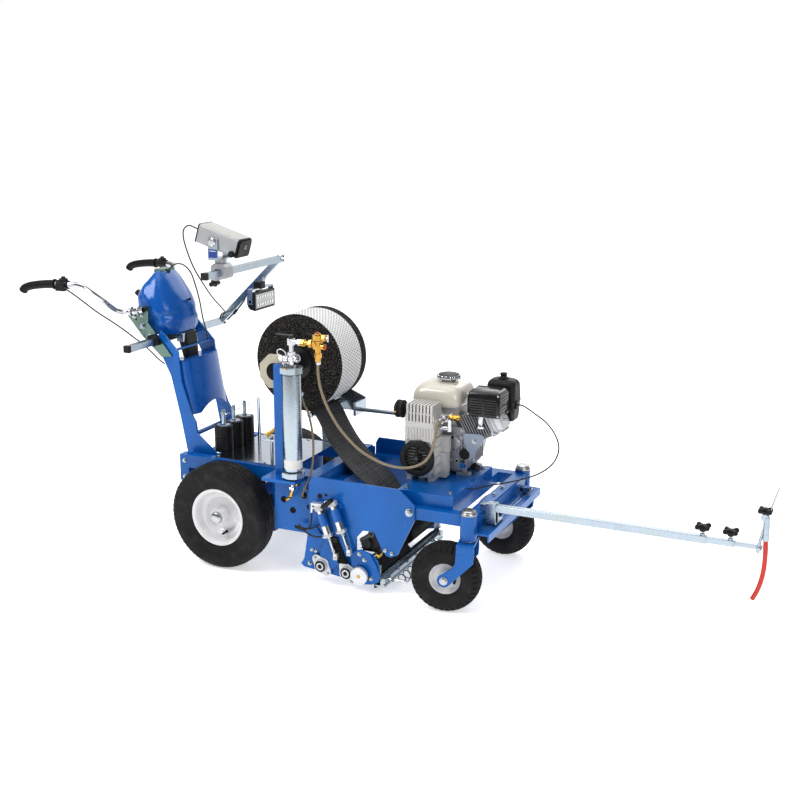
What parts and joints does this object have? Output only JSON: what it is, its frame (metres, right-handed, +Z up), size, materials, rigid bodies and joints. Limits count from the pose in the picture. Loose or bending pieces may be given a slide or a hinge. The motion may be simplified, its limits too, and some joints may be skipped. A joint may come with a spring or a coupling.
{
  "type": "pavement marking machine",
  "caption": "Walk-behind pavement marking tape layer: wheeled blue frame with tape roll, primer cylinder, engine and compressor, laser sight and telescoping pointer arm.",
  "frame": {"origin": "middle of the machine's footprint, on the ground", "axes": "+X is the way it travels, +Y its left side, +Z up"},
  "size_m": [2.8905, 0.777, 1.2972],
  "materials": {
    "blue_paint": "gloss powder coat",
    "zinc": "bright zinc plate",
    "chrome_tube": "polished",
    "alloy": "cast and machined",
    "white_paint": "gloss enamel",
    "rubber_tyre": "moulded rubber",
    "black_plastic": "textured moulding",
    "black_paint": "satin",
    "cream_paint": "gloss enamel",
    "weight_iron": "black enamel",
    "tape": "ribbed marking tape",
    "hose_braid": "braided sleeve",
    "cable_black": "smooth sheath",
    "coil_white": "translucent tubing",
    "cream_plastic": "machined plastic"
  },
  "bodies": {
    "chassis": {"rear_frame": "blue_paint", "floor_tray": "zinc", "front_frame": "blue_paint", "engine_deck": "blue_paint", "near_side_plate": "blue_paint", "far_side_plate": "blue_paint", "column_frame": "blue_paint", "column_cover": "blue_paint", "cowl": "blue_paint", "near_handle_plate": "zinc", "far_handle_plate": "zinc", "light_bar": "zinc", "near_roll_block": "cream_plastic", "far_roll_post": "zinc", "tape_web": "tape", "primer_cylinder": "zinc", "near_weight": "weight_iron", "middle_weight": "weight_iron", "far_weight": "weight_iron", "engine_block": "alloy", "fuel_tank": "cream_paint", "muffler_guard": "black_paint", "air_cleaner": "black_plastic", "compressor_housing": "alloy", "laying_beam": "alloy", "head_carriage": "blue_paint", "primer_hose": "hose_braid", "drain_hose": "hose_braid", "throttle_cable": "cable_black", "laser_cable": "cable_black", "cowl_cable": "cable_black", "handle_cable": "cable_black", "coil_hose": "coil_white"},
    "near_rear_wheel": {"near_rear_tyre": "rubber_tyre", "near_rear_rim": "white_paint"},
    "far_rear_wheel": {"far_rear_tyre": "rubber_tyre", "far_rear_rim": "white_paint"},
    "near_caster_fork": {"near_caster_fork": "blue_paint"},
    "near_caster_wheel": {"near_caster_wheel": "rubber_tyre"},
    "far_caster_fork": {"far_caster_fork": "blue_paint"},
    "far_caster_wheel": {"far_caster_wheel": "rubber_tyre"},
    "tape_roll": {"tape_roll": "tape", "roll_spindle": "zinc"},
    "near_handlebar": {"near_handlebar": "chrome_tube"},
    "near_button": {"near_button": "black_plastic"},
    "far_handlebar": {"far_handlebar": "chrome_tube"},
    "far_button": {"far_button": "black_plastic"},
    "laser_box": {"laser_box": "alloy"},
    "work_light": {"work_light": "black_paint"},
    "arm_outer": {"arm_outer": "zinc"},
    "arm_middle": {"arm_middle": "zinc"},
    "arm_inner": {"arm_inner": "zinc"},
    "arm_marker": {"arm_marker": "zinc"},
    "cutter_rod": {"cutter_rod": "chrome_tube"},
    "press_rod": {"press_rod": "chrome_tube"},
    "edge_wheel": {"edge_wheel": "zinc"},
    "feed_roller": {"feed_roller": "black_plastic"},
    "compressor_fan": {"compressor_fan": "black_plastic"},
    "primer_lever": {"primer_lever": "black_plastic"},
    "fuel_cap": {"fuel_cap": "chrome_tube"}
  },
  "joints": [
    {"name": "near_rear_wheel_spin", "type": "hinge", "parent": "chassis", "child": "near_rear_wheel", "pos_m": [-0.586, -0.2935, 0.205], "axis": [0, 1, 0], "continuous": true},
    {"name": "far_rear_wheel_spin", "type": "hinge", "parent": "chassis", "child": "far_rear_wheel", "pos_m": [-0.586, 0.2505, 0.205], "axis": [0, 1, 0], "continuous": true},
    {"name": "near_caster_swivel", "type": "hinge", "parent": "chassis", "child": "near_caster_fork", "pos_m": [0.427, -0.3115, 0.3], "axis": [0, 0, 1], "continuous": true},
    {"name": "near_caster_spin", "type": "hinge", "parent": "near_caster_fork", "child": "near_caster_wheel", "pos_m": [0.35314, -0.32452, 0.127], "axis": [-0.1736, 0.9848, 0], "continuous": true},
    {"name": "far_caster_swivel", "type": "hinge", "parent": "chassis", "child": "far_caster_fork", "pos_m": [0.427, 0.2685, 0.3], "axis": [0, 0, 1], "continuous": true},
    {"name": "far_caster_spin", "type": "hinge", "parent": "far_caster_fork", "child": "far_caster_wheel", "pos_m": [0.35229, 0.27504, 0.127], "axis": [0.0872, 0.9962, 0], "continuous": true},
    {"name": "tape_roll_spin", "type": "hinge", "parent": "chassis", "child": "tape_roll", "pos_m": [-0.368, 0.0295, 0.779], "axis": [0, 1, 0], "continuous": true},
    {"name": "near_handlebar_tilt", "type": "hinge", "parent": "chassis", "child": "near_handlebar", "pos_m": [-1.036, -0.1749, 0.9415], "axis": [-0.9832, 0, -0.1826], "range_deg": [0, 8], "deforming": ["handle_cable"]},
    {"name": "far_handlebar_tilt", "type": "hinge", "parent": "chassis", "child": "far_handlebar", "pos_m": [-1.036, 0.1319, 0.9415], "axis": [0.9832, 0, 0.1826], "range_deg": [0, 8]},
    {"name": "near_button_press", "type": "slide", "parent": "near_handlebar", "child": "near_button", "axis": [0, 0, -1], "range_m": [0, 0.004], "stiffness_N_per_m": 400},
    {"name": "far_button_press", "type": "slide", "parent": "far_handlebar", "child": "far_button", "axis": [0, 0, -1], "range_m": [0, 0.004], "stiffness_N_per_m": 400},
    {"name": "laser_tilt", "type": "hinge", "parent": "chassis", "child": "laser_box", "pos_m": [-0.67, -0.1265, 1.229], "axis": [0, 1, 0], "range_deg": [-20, 20], "deforming": ["laser_cable"]},
    {"name": "lamp_tilt", "type": "hinge", "parent": "chassis", "child": "work_light", "pos_m": [-0.754, 0.3025, 0.938], "axis": [0, 1, 0], "range_deg": [-45, 45]},
    {"name": "arm_shift", "type": "slide", "parent": "chassis", "child": "arm_outer", "axis": [0, 1, 0], "range_m": [-0.03, 0.25]},
    {"name": "arm_middle_slide", "type": "slide", "parent": "arm_outer", "child": "arm_middle", "axis": [1, 0, 0], "range_m": [-0.06, 0.3]},
    {"name": "arm_inner_slide", "type": "slide", "parent": "arm_middle", "child": "arm_inner", "axis": [1, 0, 0], "range_m": [-0.035, 0.3]},
    {"name": "marker_swing", "type": "hinge", "parent": "arm_inner", "child": "arm_marker", "pos_m": [1.393, -0.2325, 0.365], "axis": [0, 1, 0], "range_deg": [-45, 45]},
    {"name": "cutter_stroke", "type": "slide", "parent": "chassis", "child": "cutter_rod", "axis": [0.3461, 0, -0.9382], "range_m": [-0.004, 0.015]},
    {"name": "press_stroke", "type": "slide", "parent": "chassis", "child": "press_rod", "axis": [0.3461, 0, -0.9382], "range_m": [-0.004, 0.015]},
    {"name": "edge_wheel_spin", "type": "hinge", "parent": "chassis", "child": "edge_wheel", "pos_m": [0.015, -0.3335, 0.071], "axis": [0, 1, 0], "continuous": true},
    {"name": "feed_roller_spin", "type": "hinge", "parent": "chassis", "child": "feed_roller", "pos_m": [0.031, -0.0215, 0.11], "axis": [0, 1, 0], "continuous": true},
    {"name": "compressor_fan_spin", "type": "hinge", "parent": "chassis", "child": "compressor_fan", "pos_m": [0.164, -0.0215, 0.488], "axis": [0, 1, 0], "continuous": true},
    {"name": "primer_lever_turn", "type": "hinge", "parent": "chassis", "child": "primer_lever", "pos_m": [-0.266, -0.3095, 0.925], "axis": [0, 0, 1], "range_deg": [0, 90]},
    {"name": "fuel_cap_turn", "type": "hinge", "parent": "chassis", "child": "fuel_cap", "pos_m": [0.205, 0.0385, 0.752], "axis": [0, 0, 1], "range_deg": [0, 90]}
  ]
}
